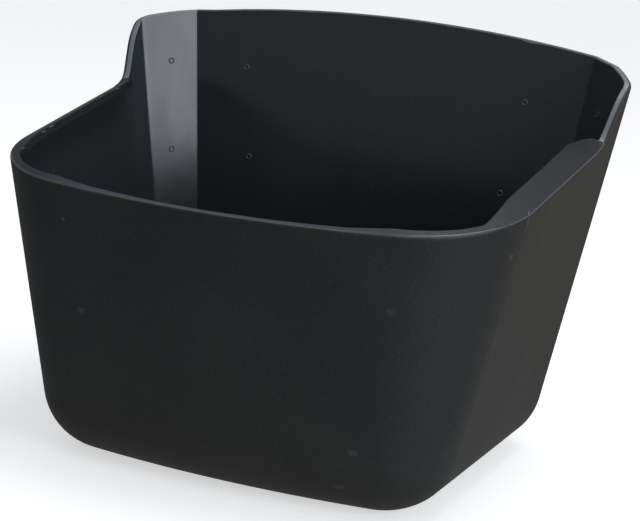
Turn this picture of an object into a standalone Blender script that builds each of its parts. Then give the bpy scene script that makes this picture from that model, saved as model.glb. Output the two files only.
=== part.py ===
"""Anti-spill feeding bowl for livestock: one moulded tub with a tall, flat back and inturned side lips.

Metres, +Z up. The tub stands on its flat base at Z = 0, its back faces +Y, and X = 0 is its plane of symmetry.
Every place is first worked out with the top of the back wall at Y = 0, then moved to the middle of the tub.
"""
import math

import bmesh
import bpy
from mathutils import Matrix, Vector
from mathutils.geometry import intersect_line_line_2d

# Heights of the rim above the table
BACK_HEIGHT = 0.270          # back wall, where it meets the corner bevels
BACK_ARCH = 0.0115           # how much higher the rim is in the middle of the back
SIDE_RIM_AT_BACK = 0.230     # side rim, carried back to the plane of the back wall
SIDE_RIM_SLOPE = 0.1664      # fall of the side rim for each metre forward

# Outer faces of the walls, each at the base and at BACK_HEIGHT
WALL = 0.0052
BACK_LEAN = 0.0265           # the back's foot is this far in front of its top
BACK_HALF_BASE = 0.1230      # half width of the flat back, between the bevels
BACK_HALF_TOP = 0.1540
SIDE_BASE = 0.1460           # half width between the sides, in line with the back
SIDE_TOP = 0.1903
FRONT_BASE = 0.2550
FRONT_TOP = 0.2860
BEVEL_ANGLE = math.radians(45)
SIDE_TURN = math.radians(3.15)  # the sides draw together towards the front
FLARE_START = -0.045         # ahead of here the walls lean out more and more
FLARE = 1.08                 # by this share for each metre forward

# Radii in plan, outside
FRONT_RADIUS = 0.674         # bow of the front
FRONT_CORNER_BASE = 0.043
FRONT_CORNER_TOP = 0.080
SHOULDER_RADIUS = 0.008      # between a side and its bevel
HEEL_RADIUS = 0.007          # between a bevel and the back
LEAST_RADIUS = 0.0008

FOOT_RADIUS = 0.044          # along the foot, outside

# Corners of the flat base in plan, on the right: in the front, at the front corner and at the bevel
FLAT_CORNERS = ((0.0340, -0.2163), (0.0985, -0.2096), (0.1066, -0.0640))
FLAT_MIDDLE = (0.0, -0.1401)

# Step of the rim down to the side: length along the wall from the back's edge, and height
STEP_TOP = (0.0552, 0.2640)
STEP_FOOT = 0.0735
STEP_START = 0.14            # the arch of the back ends this share of the way to the step's top
STEP_TOP_RADIUS = 0.034
STEP_FOOT_RADIUS = 0.018

# The rim's inner edge, from the middle of the front to the step. A place is the number of the stretch of
# wall, then how far along it: 0 front, 1 front corner, 2 side, 3 shoulder, 4 bevel, 5 heel, 6 back.
# Then how far the edge stands in from the outer wall, and how far up from the crease.
RIM_EDGE = (
    (0.00, 0.0052, 0.0005),
    (0.35, 0.0052, 0.0007),
    (0.75, 0.0052, 0.0016),
    (1.00, 0.0052, 0.0038),
    (1.20, 0.0053, 0.0034),
    (1.45, 0.0058, 0.0026),
    (1.58, 0.0064, 0.0026),
    (1.70, 0.0108, 0.0052),
    (1.80, 0.0137, 0.0068),
    (1.92, 0.0162, 0.0076),
    (2.58, 0.0174, 0.0076),
    (2.66, 0.0178, 0.0080),
    (2.72, 0.0163, 0.0072),
    (2.77, 0.0142, 0.0063),
    (2.81, 0.0112, 0.0049),
    (2.825, 0.0086, 0.0036),
    (2.84, 0.0052, 0.0004),
    (7.00, 0.0052, 0.0004),
)
LIP_FULL = 0.0105            # from this width on, the lip's edge is cut square to the lip
CREASE_RADIUS = 0.0020
EDGE_RADIUS = 0.0006
CUT_IN = 0.0018              # the square cut runs this far in from the lip's upper edge
CUT_DOWN = 0.0040            # and this far down
LIP_TURN = (0.0035, 0.0016)  # half way round the lip's hollow corner: in from the wall, down from the crease
LIP_ROOT = 0.0065            # the hollow corner ends in the inner wall this far below the crease
RIM_LAND = 0.0012            # where there is no lip, the inner edge is broken this far down the wall
RIM_TURN = 0.0018            # and the inner wall's last points lie this far
RIM_ROOT = 0.0027            # and this far below the crease

# Raised ring marks inside the back and the bevels, each a place where a fixing hole may be drilled
MARK_RADIUS = 0.0024
MARK_LINE = 0.0012           # width of the bead that makes the ring
MARK_HEIGHT = 0.0005
MARK_SEAT = 0.0006           # the bead goes this far down into the wall
MARK_SIDES = 16
BEAD_STEPS = 4
MARK_UPPER = 0.2336
MARK_LOWER = 0.1688
MARK_BACK_UPPER = 0.1069
MARK_BACK_LOWER = 0.0976
MARK_BEVEL = 0.0203

# Steps of the mesh
FRONT_STEPS = 8
CORNER_STEPS = 10
SIDE_STEPS = 8
ARC_STEPS = 6
DROP_STEPS = 3
BEVEL_STEPS = 3
HEEL_STEPS = 3
BACK_STEPS = 7
FOOT_STEPS = 6
WALL_STEPS = 3
CREASE_STEPS = 3
RIM_TRIES = 8                # rounds in which a leaning wall's rim height settles
SHARP_ANGLE = math.radians(32)
MERGE_DISTANCE = 0.00001

FRONT, CORNER, SIDE, SHOULDER, BEVEL, HEEL, BACK = range(7)
SIDE_NORMAL = Vector((math.cos(SIDE_TURN), -math.sin(SIDE_TURN)))
BEVEL_NORMAL = Vector((math.sin(BEVEL_ANGLE), math.cos(BEVEL_ANGLE)))


def clear_scene():
    """Removes every object of the start-up scene."""
    for item in list(bpy.data.objects):
        bpy.data.objects.remove(item, do_unlink=True)


def mix(first, last, share):
    """A value between two, by its share of the way."""
    return first + (last - first) * share


def at_height(base, top, height):
    """A size that grows evenly from the base to BACK_HEIGHT."""
    return mix(base, top, height / BACK_HEIGHT)


def angle_of(direction):
    return math.atan2(direction.y, direction.x)


def meeting(normal_a, offset_a, normal_b, offset_b):
    """Where two lines in plan meet, each given by its normal and its distance from the origin."""
    det = normal_a.x * normal_b.y - normal_a.y * normal_b.x
    x = (offset_a * normal_b.y - offset_b * normal_a.y) / det
    y = (normal_a.x * offset_b - normal_b.x * offset_a) / det
    return Vector((x, y))


def back_place(height):
    """Y of the outer face of the back wall."""
    return -at_height(BACK_LEAN, 0.0, height)


def plan(height, inset=0.0):
    """The right half of the wall's plan, as stretches: arcs of centre, radius and two angles, or lines."""
    side = at_height(SIDE_BASE, SIDE_TOP, height) - inset
    back = back_place(height) - inset
    front = inset - at_height(FRONT_BASE, FRONT_TOP, height)
    half = at_height(BACK_HALF_BASE, BACK_HALF_TOP, height)
    bevel = BEVEL_NORMAL.dot(Vector((half, back_place(height)))) - inset
    bow = FRONT_RADIUS - inset
    corner = max(at_height(FRONT_CORNER_BASE, FRONT_CORNER_TOP, height) - inset, LEAST_RADIUS)
    shoulder = max(SHOULDER_RADIUS - inset, LEAST_RADIUS)
    heel = max(HEEL_RADIUS - inset, LEAST_RADIUS)
    back_normal = Vector((0.0, 1.0))

    bow_centre = Vector((0.0, front + bow))
    along = Vector((SIDE_NORMAL.y, -SIDE_NORMAL.x))
    start = SIDE_NORMAL * (side - corner) - bow_centre
    reach = start.dot(along)
    corner_centre = bow_centre + start + along * (
        math.sqrt(reach ** 2 - start.length_squared + (bow - corner) ** 2) - reach)
    shoulder_centre = meeting(SIDE_NORMAL, side - shoulder, BEVEL_NORMAL, bevel - shoulder)
    heel_centre = meeting(BEVEL_NORMAL, bevel - heel, back_normal, back - heel)

    tangent = angle_of(corner_centre - bow_centre)
    side_angle = angle_of(SIDE_NORMAL)
    bevel_angle = angle_of(BEVEL_NORMAL)
    return (
        ("arc", bow_centre, bow, -math.pi / 2, tangent),
        ("arc", corner_centre, corner, tangent, side_angle),
        ("line", corner_centre + SIDE_NORMAL * corner, shoulder_centre + SIDE_NORMAL * shoulder),
        ("arc", shoulder_centre, shoulder, side_angle, bevel_angle),
        ("line", shoulder_centre + BEVEL_NORMAL * shoulder, heel_centre + BEVEL_NORMAL * heel),
        ("arc", heel_centre, heel, bevel_angle, math.pi / 2),
        ("line", Vector((heel_centre.x, back)), Vector((0.0, back))),
    )


def on_stretch(stretch, share):
    """A point of a stretch of the plan."""
    if stretch[0] == "line":
        return stretch[1].lerp(stretch[2], share)
    _, centre, radius, first, last = stretch
    angle = mix(first, last, share)
    return centre + radius * Vector((math.cos(angle), math.sin(angle)))


def stretch_length(stretch):
    if stretch[0] == "line":
        return (stretch[2] - stretch[1]).length
    return abs(stretch[4] - stretch[3]) * stretch[2]


def flare(place):
    """How much faster the wall leans out at a place than it does at the back."""
    number = min(int(place), BACK)
    y = on_stretch(plan(SIDE_RIM_AT_BACK)[number], place - number).y
    return 1 + FLARE * max(FLARE_START - y, 0.0)


def wall_point(place, height, inset=0.0):
    """A point of the wall at a place round the plan."""
    number = min(int(place), BACK)
    spot = on_stretch(plan(height * flare(place), inset)[number], place - number)
    return Vector((spot.x, spot.y, height))


def place_at(length, height):
    """The place that lies a given length along the wall, forwards from the back's edge."""
    stretches = plan(height)
    left = length + stretch_length(stretches[HEEL]) / 2
    for number in (HEEL, BEVEL, SHOULDER, SIDE):
        whole = stretch_length(stretches[number])
        if left <= whole:
            return number + 1 - left / whole
        left -= whole
    raise ValueError("the step of the rim is longer than the wall")


def side_rim(y):
    """Height of the rim's crease along the sides and the front."""
    return SIDE_RIM_AT_BACK + SIDE_RIM_SLOPE * y


def side_rim_height(place):
    """The height at which a place of the leaning wall meets the sloping rim."""
    height = SIDE_RIM_AT_BACK
    for _ in range(RIM_TRIES):
        height = side_rim(wall_point(place, height).y)
    return height


def rounded(before, corner, after, radius):
    """Points of an arc that rounds a corner between two straight lines."""
    into = (corner - before).normalized()
    out = (after - corner).normalized()
    turn = into.angle(out)
    cut = radius * math.tan(turn / 2)
    start = corner - into * cut
    inward = (out - into * into.dot(out)).normalized()
    points = []
    for step in range(ARC_STEPS + 1):
        swung = turn * step / ARC_STEPS
        points.append(start + into * radius * math.sin(swung) + inward * radius * (1 - math.cos(swung)))
    return points


def step_of_rim():
    """The rim from the back's edge over the step to the side: places and heights, front to back."""
    edge = Vector((0.0, BACK_HEIGHT))
    top = Vector(STEP_TOP)
    foot_height = side_rim(wall_point(place_at(STEP_FOOT, STEP_TOP[1]), SIDE_RIM_AT_BACK).y)
    foot = Vector((STEP_FOOT, foot_height))
    ahead = foot + Vector((1.0, -SIDE_RIM_SLOPE))
    upper = rounded(edge, top, foot, STEP_TOP_RADIUS)
    lower = rounded(top, foot, ahead, STEP_FOOT_RADIUS)
    drop = [upper[-1].lerp(lower[0], step / DROP_STEPS) for step in range(1, DROP_STEPS)]
    first = edge.lerp(upper[0], STEP_START)
    bevel = [first.lerp(upper[0], step / BEVEL_STEPS) for step in range(BEVEL_STEPS)]
    points = bevel + upper + drop + lower
    return [(place_at(length, height), height) for length, height in reversed(points)]


def back_rim_height(place):
    """Height of the arched rim of the back."""
    x = wall_point(place, BACK_HEIGHT).x
    return BACK_HEIGHT + BACK_ARCH * (1 - (x / BACK_HALF_TOP) ** 2)


def columns():
    """Places round the right half, from the middle of the front to the middle of the back, with rim heights."""
    step = step_of_rim()
    side_end = step[0][0]
    places = [FRONT + k / FRONT_STEPS for k in range(FRONT_STEPS)]
    places += [CORNER + k / CORNER_STEPS for k in range(CORNER_STEPS)]
    places += [mix(SIDE, side_end, k / SIDE_STEPS) for k in range(SIDE_STEPS)]
    low = [(place, side_rim_height(place)) for place in places]
    behind = [HEEL + k / HEEL_STEPS for k in range(1, HEEL_STEPS)]
    behind += [BACK + k / BACK_STEPS for k in range(BACK_STEPS + 1)]
    high = [(place, back_rim_height(place)) for place in behind]
    return low + step + high


def rim_edge(place):
    """How far in and up the rim's inner edge stands at a place."""
    for before, after in zip(RIM_EDGE, RIM_EDGE[1:]):
        if place <= after[0]:
            share = (place - before[0]) / (after[0] - before[0])
            return mix(before[1], after[1], share), mix(before[2], after[2], share)
    return RIM_EDGE[-1][1:]


def taper(place):
    """How far the wall stands out for each metre of height."""
    run = wall_point(place, BACK_HEIGHT) - wall_point(place, 0.0)
    return Vector((run.x, run.y)).length / BACK_HEIGHT


def edge_of_flat(beyond, height):
    """Where the flat of the base ends, on the way from its middle to a point beyond it."""
    right = [Vector(corner) for corner in FLAT_CORNERS]
    ring = [Vector((-right[0].x, right[0].y))] + right + [Vector((-right[-1].x, right[-1].y))]
    for first, last in zip(ring, ring[1:]):
        spot = intersect_line_line_2d(Vector(FLAT_MIDDLE), beyond.xy, first, last)
        if spot:
            return Vector((spot.x, spot.y, height))
    raise ValueError("the foot of the wall lies inside the flat base")


def foot_points(place, inset):
    """The rounded foot of the wall at a place, from the flat base up to the wall."""
    radius = FOOT_RADIUS - inset
    lean = math.atan(taper(place))
    points = []
    for step in range(1, FOOT_STEPS + 1):
        angle = (math.pi / 2 - lean) * step / FOOT_STEPS
        height = radius * (1 - math.cos(angle)) + inset
        inward = radius * (1 / math.cos(lean) - math.cos(angle) * math.tan(lean) - math.sin(angle))
        points.append(wall_point(place, height, inset + inward))
    return [edge_of_flat(points[0], inset)] + points


def wall_run(place, low, high, inset):
    """Points between the foot and the rim."""
    return [wall_point(place, mix(low, high, k / WALL_STEPS), inset) for k in range(1, WALL_STEPS)]


def section(place, rim):
    """One cut through the wall, from the base outside, over the rim, to the floor inside."""
    inward, upward = rim_edge(place)
    lip = min(max((inward - WALL) / (LIP_FULL - WALL), 0.0), 1.0)
    to_edge = Vector((inward, upward))
    slope = to_edge.normalized()

    outside = foot_points(place, 0.0)
    outside += wall_run(place, outside[-1].z, rim - CREASE_RADIUS, 0.0)

    profile = []
    for step in range(CREASE_STEPS + 1):
        share = step / CREASE_STEPS
        down = Vector((0.0, -CREASE_RADIUS)) * (1 - share) ** 2
        profile.append(down + slope * CREASE_RADIUS * share ** 2)
    cut = Vector((CUT_IN * lip, -mix(RIM_LAND, CUT_DOWN, lip)))
    profile.append(to_edge - slope * EDGE_RADIUS)
    profile.append(to_edge + cut.normalized() * EDGE_RADIUS)
    profile.append(to_edge + cut)
    profile.append(Vector((WALL + LIP_TURN[0] * lip, -mix(RIM_TURN, LIP_TURN[1], lip))))
    root = mix(RIM_ROOT, LIP_ROOT, lip)
    profile.append(Vector((WALL, -root)))
    over = [wall_point(place, rim + spot.y, spot.x) for spot in profile]

    inside = foot_points(place, WALL)
    inside += wall_run(place, inside[-1].z, rim - root, WALL)
    return outside + over + list(reversed(inside))


def middle_y():
    """Half way between the front of the rim and the back's top edge."""
    front = wall_point(FRONT, side_rim_height(FRONT)).y
    back = back_place(back_rim_height(BACK + 1))
    return (front + back) / 2


def full_loop(half, shift):
    """Mirrors half a loop of points, which starts and ends on the plane of symmetry."""
    right = [point - shift for point in half]
    left = [Vector((-point.x, point.y, point.z)) for point in right[-2:0:-1]]
    return right + left


def raise_loop(mesh, loop, spots):
    """Extrudes the open loop of a wall and puts each new vertex at its spot."""
    count = len(loop)
    edges = [mesh.edges.get((loop[k], loop[(k + 1) % count])) for k in range(count)]
    made = bmesh.ops.extrude_edge_only(mesh, edges=edges)["geom"]
    fresh = {item for item in made if isinstance(item, bmesh.types.BMVert)}
    raised = [next(e.other_vert(v) for e in v.link_edges if e.other_vert(v) in fresh) for v in loop]
    for vert, spot in zip(raised, spots):
        vert.co = spot
    return raised


def plastic():
    """Black moulded polyethylene."""
    material = bpy.data.materials.new("black_polyethylene")
    material.use_nodes = True
    shader = material.node_tree.nodes["Principled BSDF"]
    shader.inputs["Base Color"].default_value = (0.017, 0.018, 0.019, 1.0)
    shader.inputs["Roughness"].default_value = 0.5
    shader.inputs["Metallic"].default_value = 0.0
    return material


def new_object(name, mesh):
    """Puts a finished bmesh into the scene as an object."""
    data = bpy.data.meshes.new(name)
    mesh.to_mesh(data)
    mesh.free()
    item = bpy.data.objects.new(name, data)
    bpy.context.collection.objects.link(item)
    return item


def make_tub(shift):
    """The walls, lips, base and floor of the tub as one closed skin."""
    sections = [section(place, rim) for place, rim in columns()]
    loops = [full_loop(row, shift) for row in zip(*sections)]
    mesh = bmesh.new()
    ring = [mesh.verts.new(spot) for spot in loops[0]]
    mesh.faces.new(ring)
    for spots in loops[1:]:
        ring = raise_loop(mesh, ring, spots)
    mesh.faces.new(ring)
    bmesh.ops.recalc_face_normals(mesh, faces=mesh.faces[:])
    return new_object("bowl", mesh)


def mark_frames(shift):
    """Where the ring marks lie on the inside, each as a matrix whose Z points into the tub."""
    frames = []
    for height, half in ((MARK_UPPER, MARK_BACK_UPPER), (MARK_LOWER, MARK_BACK_LOWER)):
        back = Vector((half, back_place(height) - WALL, height))
        edge = meeting(BEVEL_NORMAL, bevel_offset(height), Vector((0.0, 1.0)), back.y)
        forward = Vector((BEVEL_NORMAL.y, -BEVEL_NORMAL.x))
        bevel = edge + forward * MARK_BEVEL
        spots = (
            (back, Vector((0.0, -1.0, BACK_LEAN / BACK_HEIGHT))),
            (Vector((bevel.x, bevel.y, height)), bevel_facing()),
        )
        for spot, facing in spots:
            for side in (1, -1):
                turned = Vector((facing.x * side, facing.y, facing.z)).to_track_quat("Z", "X")
                seat = Vector((spot.x * side, spot.y, spot.z)) - shift
                frames.append(Matrix.LocRotScale(seat, turned, None))
    return frames


def bevel_offset(height):
    """Distance of the bevel's inner face from the origin, in plan."""
    corner = Vector((at_height(BACK_HALF_BASE, BACK_HALF_TOP, height), back_place(height)))
    return BEVEL_NORMAL.dot(corner) - WALL


def bevel_facing():
    """Normal of the bevel's inner face, into the tub."""
    rise = (bevel_offset(BACK_HEIGHT) - bevel_offset(0.0)) / BACK_HEIGHT
    return Vector((-BEVEL_NORMAL.x, -BEVEL_NORMAL.y, rise))


def make_mark_rings(shift):
    """Eight small beads, seated in the inner faces, that the tub is joined with."""
    mesh = bmesh.new()
    middle = MARK_RADIUS - MARK_LINE / 2
    outline = [(MARK_LINE / 2, -MARK_SEAT)]
    for step in range(BEAD_STEPS + 1):
        angle = math.pi * step / BEAD_STEPS
        outline.append((math.cos(angle) * MARK_LINE / 2, math.sin(angle) * MARK_HEIGHT))
    outline.append((-MARK_LINE / 2, -MARK_SEAT))
    for frame in mark_frames(shift):
        ring = [mesh.verts.new((middle + x, 0.0, z)) for x, z in outline]
        edges = [mesh.edges.new((ring[k], ring[k - 1])) for k in range(len(ring))]
        bmesh.ops.spin(mesh, geom=ring + edges, cent=(0.0, 0.0, 0.0), axis=(0.0, 0.0, 1.0),
                       angle=2 * math.pi, steps=MARK_SIDES, use_merge=True)
        whole = [v for v in mesh.verts if not v.tag]
        bmesh.ops.transform(mesh, matrix=frame, verts=whole)
        for vert in whole:
            vert.tag = True
    bmesh.ops.remove_doubles(mesh, verts=mesh.verts[:], dist=MERGE_DISTANCE)
    bmesh.ops.recalc_face_normals(mesh, faces=mesh.faces[:])
    rings = new_object("mark_rings", mesh)
    rings.hide_render = True
    rings.display_type = "WIRE"
    return rings


def main():
    clear_scene()
    shift = Vector((0.0, middle_y(), 0.0))
    bowl = make_tub(shift)
    bowl.data.materials.append(plastic())
    bowl.data.shade_smooth()
    bowl.data.set_sharp_from_angle(angle=SHARP_ANGLE)
    marks = bowl.modifiers.new("raised_marks", "BOOLEAN")
    marks.operation = "UNION"
    marks.solver = "EXACT"
    marks.object = make_mark_rings(shift)


main()
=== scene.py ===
"""Anti-spill feeding bowl: one moulded tub of black polyethylene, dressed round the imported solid.

The tub's skin is raised ring by ring from its base, up the outside, over the trimmed rim and down the
inside. Metres, +Z up, the tall back towards +Y, and X = 0 as the plane of symmetry.
"""
import math

import bmesh
import bpy
from mathutils import Matrix, Vector, noise
from mathutils.geometry import intersect_line_line_2d


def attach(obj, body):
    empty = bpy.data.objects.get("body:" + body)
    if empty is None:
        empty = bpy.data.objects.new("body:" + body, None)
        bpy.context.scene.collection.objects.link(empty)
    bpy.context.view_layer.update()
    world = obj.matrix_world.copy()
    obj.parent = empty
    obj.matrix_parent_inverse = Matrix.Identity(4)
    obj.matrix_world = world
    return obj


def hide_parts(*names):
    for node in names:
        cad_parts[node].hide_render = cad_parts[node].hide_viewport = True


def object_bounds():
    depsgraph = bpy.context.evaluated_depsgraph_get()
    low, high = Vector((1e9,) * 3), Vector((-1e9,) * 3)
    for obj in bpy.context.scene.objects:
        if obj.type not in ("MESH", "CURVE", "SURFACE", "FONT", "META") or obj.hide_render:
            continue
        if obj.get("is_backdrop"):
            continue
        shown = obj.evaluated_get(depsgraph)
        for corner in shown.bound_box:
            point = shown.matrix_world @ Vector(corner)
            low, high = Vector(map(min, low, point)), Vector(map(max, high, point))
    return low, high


bl_info = {
    "name": "Anti-spill feeding bowl",
    "version": (1, 0, 0),
    "blender": (4, 5, 0),
    "location": "View3D > Sidebar > Bowl",
    "description": "Models a moulded feeding bowl with a tall back, side lips and a rounded foot",
    "category": "Add Mesh",
}

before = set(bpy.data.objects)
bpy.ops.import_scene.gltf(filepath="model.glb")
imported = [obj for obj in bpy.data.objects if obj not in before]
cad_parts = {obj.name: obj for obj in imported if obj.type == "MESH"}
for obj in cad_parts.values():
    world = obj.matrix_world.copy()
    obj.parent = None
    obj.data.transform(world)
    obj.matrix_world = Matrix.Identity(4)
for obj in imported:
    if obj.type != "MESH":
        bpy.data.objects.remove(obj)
cad_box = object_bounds()

# Stretches of the wall in plan, from the middle of the front to the middle of the back
FRONT, CORNER, SIDE, SHOULDER, BEVEL, HEEL, BACK = range(7)

# The rim's inner edge: a place round the plan, how far the edge stands in from the outer wall, and how far
# up from the rim's crease
RIM_EDGE = (
    (0.00, 0.0052, 0.0005),
    (0.35, 0.0052, 0.0007),
    (0.75, 0.0052, 0.0016),
    (1.00, 0.0052, 0.0038),
    (1.20, 0.0053, 0.0034),
    (1.45, 0.0058, 0.0026),
    (1.58, 0.0064, 0.0026),
    (1.70, 0.0108, 0.0052),
    (1.80, 0.0137, 0.0068),
    (1.92, 0.0162, 0.0076),
    (2.58, 0.0174, 0.0076),
    (2.66, 0.0178, 0.0080),
    (2.72, 0.0163, 0.0072),
    (2.77, 0.0142, 0.0063),
    (2.81, 0.0112, 0.0049),
    (2.825, 0.0086, 0.0036),
    (2.84, 0.0052, 0.0004),
    (7.00, 0.0052, 0.0004),
)

# Surfaces of the skin: moulded outside, top of the rim, knife-cut edge, rubbed outer edge that is partly a
# painted highlight, moulded inside, and the inner edge of the lip in painted shade
SHELL, LIP, CUT, BURNISHED, INSIDE, BROW = range(6)
SHARP_ANGLE = math.radians(38)

# Places on the rim: from where to where it turns in as a lip, grows paler from the step forwards, and takes
# on the look of the front
LIP_PLACES = (1.56, 2.84)
LIP_PALER = (2.75, 1.75)
FRONT_PALER = (1.30, 0.90)

# Corners of the flat base in plan, on the right, before the tub is moved to its middle
FLAT_CORNERS = ((0.0340, -0.2163), (0.0985, -0.2096), (0.1066, -0.0640))
FLAT_MIDDLE = (0.0, -0.1401)

# Where the hand-trimmed rim strays from its even line: side, length from the back's edge, half length and
# height
TRIMS = ((1, 0.050, 0.026, -0.0044), (-1, 0.012, 0.034, 0.0014))

# Scuffs on the outside: spot, reach along each axis and strength
SCUFFS = (
    ((0.1664, -0.0773, 0.1712), (0.004, 0.0035, 0.0028), 0.4),
    ((0.1712, -0.0675, 0.1905), (0.003, 0.0012, 0.0065), 0.7),
    ((0.1642, 0.0435, 0.1345), (0.004, 0.0012, 0.0170), 0.4),
    ((0.1590, -0.0625, 0.1240), (0.004, 0.0009, 0.0062), 0.6),
    ((0.1573, -0.0606, 0.1145), (0.004, 0.0009, 0.0062), 0.8),
    ((0.1553, -0.0583, 0.1045), (0.004, 0.0009, 0.0062), 0.6),
    ((0.1127, -0.1251, 0.1396), (0.0035, 0.004, 0.0030), 0.3),
    ((0.0925, -0.1153, 0.0475), (0.004, 0.004, 0.0025), 0.5),
    ((0.0846, -0.1098, 0.0226), (0.005, 0.004, 0.0015), 0.5),
    ((-0.0900, -0.1240, 0.1056), (0.004, 0.004, 0.0025), 0.5),
    ((-0.1015, -0.1304, 0.1625), (0.0015, 0.003, 0.0015), 0.9),
)

# Slivers that the knife left on the rim: side, place, offset from the rim's crease inwards and up, turn in
# the plan, length and width
BURRS = (
    (1, 1.735, 0.0000, 0.0006, -80.0, 0.0026, 0.0008),
    (1, 1.950, 0.0012, 0.0008, 100.0, 0.0036, 0.0006),
    (-1, 1.630, 0.0090, 0.0040, 20.0, 0.0022, 0.0007),
    (-1, 1.920, 0.0170, 0.0066, 30.0, 0.0034, 0.0009),
    (-1, 2.030, 0.0172, 0.0068, 60.0, 0.0030, 0.0008),
    (-1, 2.610, 0.0178, 0.0070, 40.0, 0.0030, 0.0009),
)

# Where the knife slipped down the inner wall: side, place, half width in places and depth
SLIPS = ((1, 6.30, 0.050, 0.0010), (1, 6.72, 0.030, 0.0005), (-1, 6.60, 0.060, 0.0004))

# Noise on the surfaces: scale, detail, and stretch where it isn't even
PATCHES = (14.0, 5.0)
DUST = (650.0, 2.0)
SHELL_GRAIN = (420.0, 3.0)
SHELL_DIMPLES = (1500.0, 2.0)
SCUFF_EDGE = (700.0, 3.0)
MOULD_DRAG = (60.0, 4.0, (1.0, 1.0, 0.25))
SPECKS = (800.0, 2.0)
WAVES = (45.0, 3.0)
INSIDE_GRAIN = (1100.0, 2.0)
LIP_WEAR = (90.0, 4.0)
SCRATCHES = (520.0, 4.0, (0.25, 1.0, 0.6))
LIP_GRAIN = (900.0, 3.0)
GLINTS = (500.0, 3.0)
BROW_GRAIN = (900.0, 2.0)
BEAD_GRAIN = (1200.0, 2.0)
STREAKS = (900.0, 3.0, (0.4, 1.0, 1.0))
NICKS = (700.0, 3.0)
EDGE_WEAR = (320.0, 3.0)
EDGE_GRAIN = (800.0, 2.0)


def metres(name, description, default):
    """A size that a user can change."""
    return bpy.props.FloatProperty(name=name, description=description, default=default, unit="LENGTH")


def foot_and_top(name, description, foot, top):
    """A size at the foot of the walls, and at the height of the back."""
    return bpy.props.FloatVectorProperty(name=name, description=description, default=(foot, top), size=2,
                                         unit="LENGTH")


def degrees(name, description, default):
    """An angle, given in degrees and kept in radians."""
    return bpy.props.FloatProperty(name=name, description=description, default=math.radians(default),
                                   unit="ROTATION")


def dullness(surface, default):
    return bpy.props.FloatProperty(name=surface + " roughness", description="0 is glossy, 1 is dull",
                                   default=default, min=0.0, max=1.0, subtype="FACTOR")


def tone(name, description, default):
    return bpy.props.FloatVectorProperty(name=name, description=description, default=default, size=3,
                                         min=0.0, max=1.0, subtype="COLOR")


def watts(name, description, default):
    return bpy.props.FloatProperty(name=name, description=description, default=default, unit="POWER")


class BowlShape(bpy.types.PropertyGroup):
    """Sizes of the moulded tub."""
    back_height: metres("Back height", "Height of the back wall beside the bevels", 0.270)
    back_arch: metres("Back arch", "Rise of the rim in the middle of the back", 0.0115)
    side_rim: metres("Side rim", "Height of the side rim, carried to the back wall", 0.230)
    side_rim_slope: bpy.props.FloatProperty(
        name="Rim slope", description="Fall of the side rim for each metre forward", default=0.1664)
    wall: metres("Wall", "Thickness of the moulded wall", 0.0052)
    back_lean: metres("Back lean", "How far the back's foot stands in front of its top", 0.0265)
    back_half: foot_and_top("Back half width", "From the middle to the bevel", 0.1230, 0.1540)
    side: foot_and_top("Side", "From the middle to the side", 0.1460, 0.1903)
    front: foot_and_top("Front", "From the back's top to the front", 0.2550, 0.2860)
    bevel_angle: degrees("Bevel angle", "Turn of each bevel from the back", 45.0)
    side_turn: degrees("Side turn", "How much each side draws in towards the front", 3.15)
    flare_start: metres("Flare start", "Where the walls begin to lean out more", -0.045)
    flare: bpy.props.FloatProperty(
        name="Flare", description="Added lean of the walls for each metre forward", default=1.08)
    front_radius: metres("Front bow", "Radius of the bowed front in plan", 0.674)
    corner: foot_and_top("Front corner", "Radius of the front corner", 0.043, 0.080)
    shoulder_radius: metres("Shoulder", "Radius between a side and its bevel", 0.008)
    heel_radius: metres("Heel", "Radius between a bevel and the back", 0.007)
    foot_radius: metres("Foot", "Radius along the foot of the walls", 0.044)
    step_top: metres("Step top", "Along the wall from the back to the step's top", 0.0552)
    step_top_height: metres("Step top height", "Height of the rim where the step begins", 0.2640)
    step_foot: metres("Step foot", "Along the wall from the back to the step's foot", 0.0735)
    step_top_radius: metres("Step top radius", "Radius over the top of the step", 0.034)
    step_foot_radius: metres("Step foot radius", "Radius at the foot of the step", 0.018)
    crease_radius: metres("Crease radius", "Rounding of the rim's outer edge", 0.0020)
    edge_radius: metres("Edge radius", "Rounding of the rim's inner edge", 0.0006)
    trim_waver: metres("Trim waver", "How far the trimming knife strayed", 0.00025)


class BowlDetail(bpy.types.PropertyGroup):
    """The small forms on the tub."""
    mark_radius: metres("Mark radius", "Outer radius of a ring mark", 0.0024)
    mark_line: metres("Mark bead", "Width of the bead of a ring mark", 0.0012)
    mark_upper: metres("Upper marks", "Height of the upper row of marks", 0.2336)
    mark_lower: metres("Lower marks", "Height of the lower row of marks", 0.1688)
    mark_back_upper: metres("Upper marks, back", "From the middle to the back's upper marks", 0.1069)
    mark_back_lower: metres("Lower marks, back", "From the middle to the back's lower marks", 0.0976)
    mark_bevel: metres("Marks, bevel", "From the bevel's inner crease to its marks", 0.0203)
    burr_thickness: metres("Burr thickness", "Thickness of a sliver left by the knife", 0.0005)


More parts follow.
